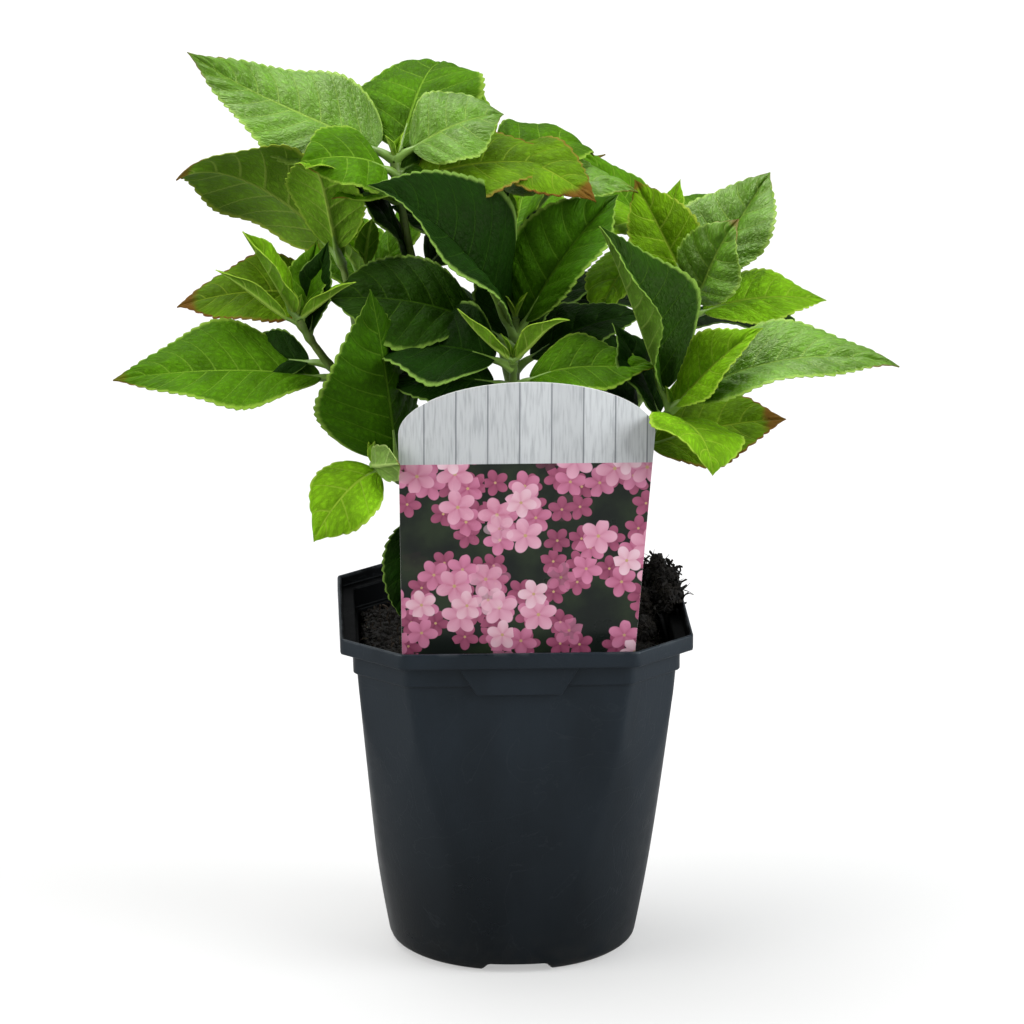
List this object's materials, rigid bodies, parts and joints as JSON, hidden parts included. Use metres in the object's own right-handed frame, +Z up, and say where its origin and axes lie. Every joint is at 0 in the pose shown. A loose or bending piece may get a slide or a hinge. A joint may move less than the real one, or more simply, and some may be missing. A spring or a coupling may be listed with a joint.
{
  "type": "potted hydrangea shrub",
  "caption": "Young hydrangea shrub with broad toothed leaves in opposite pairs, standing in a square-topped nursery pot of peat with an arched picture card at the front.",
  "frame": {"origin": "centre of the pot's flat underside", "axes": "+Z up, -Y towards the picture card at the front, +X to the right seen from the front"},
  "size_m": [0.2855, 0.2246, 0.3345],
  "materials": {
    "pot": "charcoal moulded plastic, semi-gloss, lightly scuffed",
    "soil": "dark crumbly peat with pale fibres",
    "card": "printed glossy card with pale boards above and a pink and green print below",
    "bark": "thin flaking grey-brown bark",
    "stems": "green young stems, browner towards the foot, with fine pores",
    "leaves": "veined, quilted, toothed leaves with a soft gloss and a paler underside"
  },
  "bodies": {
    "root": {"pot": "pot", "soil": "soil", "label_card": "card", "root_crown": "bark", "stem_front": "stems", "stem_middle": "stems", "stem_left": "stems", "bough_low_left": "stems", "bough_left_back": "stems", "stem_top": "stems", "stem_top_right": "stems", "stem_right_back": "stems", "stem_right": "stems", "bough_back_left": "stems", "bough_back_right": "stems", "stem_back": "stems", "foliage_front": "leaves", "foliage_middle": "leaves", "foliage_left": "leaves", "foliage_low_left": "leaves", "foliage_left_back": "leaves", "foliage_top": "leaves", "foliage_top_right": "leaves", "foliage_right_back": "leaves", "foliage_right": "leaves", "foliage_back_left": "leaves", "foliage_back_right": "leaves", "foliage_back": "leaves"}
  },
  "joints": []
}
